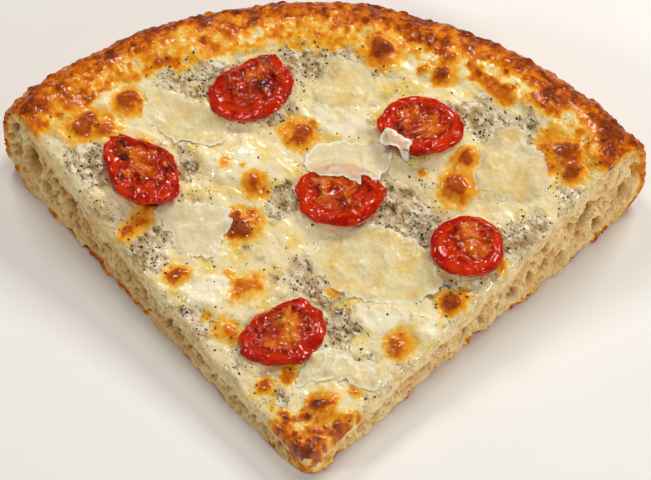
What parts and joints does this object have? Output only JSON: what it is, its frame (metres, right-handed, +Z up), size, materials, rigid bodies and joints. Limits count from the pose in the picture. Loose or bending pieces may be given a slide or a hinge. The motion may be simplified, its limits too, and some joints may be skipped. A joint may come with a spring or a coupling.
{
  "type": "pizza slice",
  "caption": "Quarter slice of thick airy pizza with truffle cream, melted mozzarella, roasted tomato halves and shaved hard cheese.",
  "frame": {"origin": "centre of the bounding box, on the underside", "axes": "+Z up from the underside, +Y from the tip towards the crust, +X to the right seen from the tip"},
  "size_m": [0.2095, 0.1573, 0.041],
  "materials": {
    "baked_bread": "porous ivory crumb, blistered golden brown crust",
    "truffle_cream": "grey beige cream with black truffle specks",
    "mozzarella": "melted, oily, with browned blisters",
    "roasted_tomato": "wet, wrinkled, lightly charred",
    "shaved_cheese": "thin and translucent, softened by heat"
  },
  "bodies": {
    "root": {"bread": "baked_bread", "truffle_cream": "truffle_cream", "mozzarella_1": "mozzarella", "mozzarella_2": "mozzarella", "mozzarella_3": "mozzarella", "mozzarella_4": "mozzarella", "mozzarella_5": "mozzarella", "mozzarella_6": "mozzarella", "mozzarella_7": "mozzarella", "mozzarella_8": "mozzarella", "tomato_half_1": "roasted_tomato", "tomato_half_2": "roasted_tomato", "tomato_half_3": "roasted_tomato", "tomato_half_4": "roasted_tomato", "tomato_half_5": "roasted_tomato", "tomato_half_6": "roasted_tomato", "parmesan_shaving_1": "shaved_cheese", "parmesan_shaving_2": "shaved_cheese", "parmesan_shaving_3": "shaved_cheese", "parmesan_shaving_4": "shaved_cheese", "parmesan_shaving_5": "shaved_cheese", "parmesan_shaving_6": "shaved_cheese", "parmesan_shaving_7": "shaved_cheese", "parmesan_shaving_8": "shaved_cheese"}
  },
  "joints": []
}
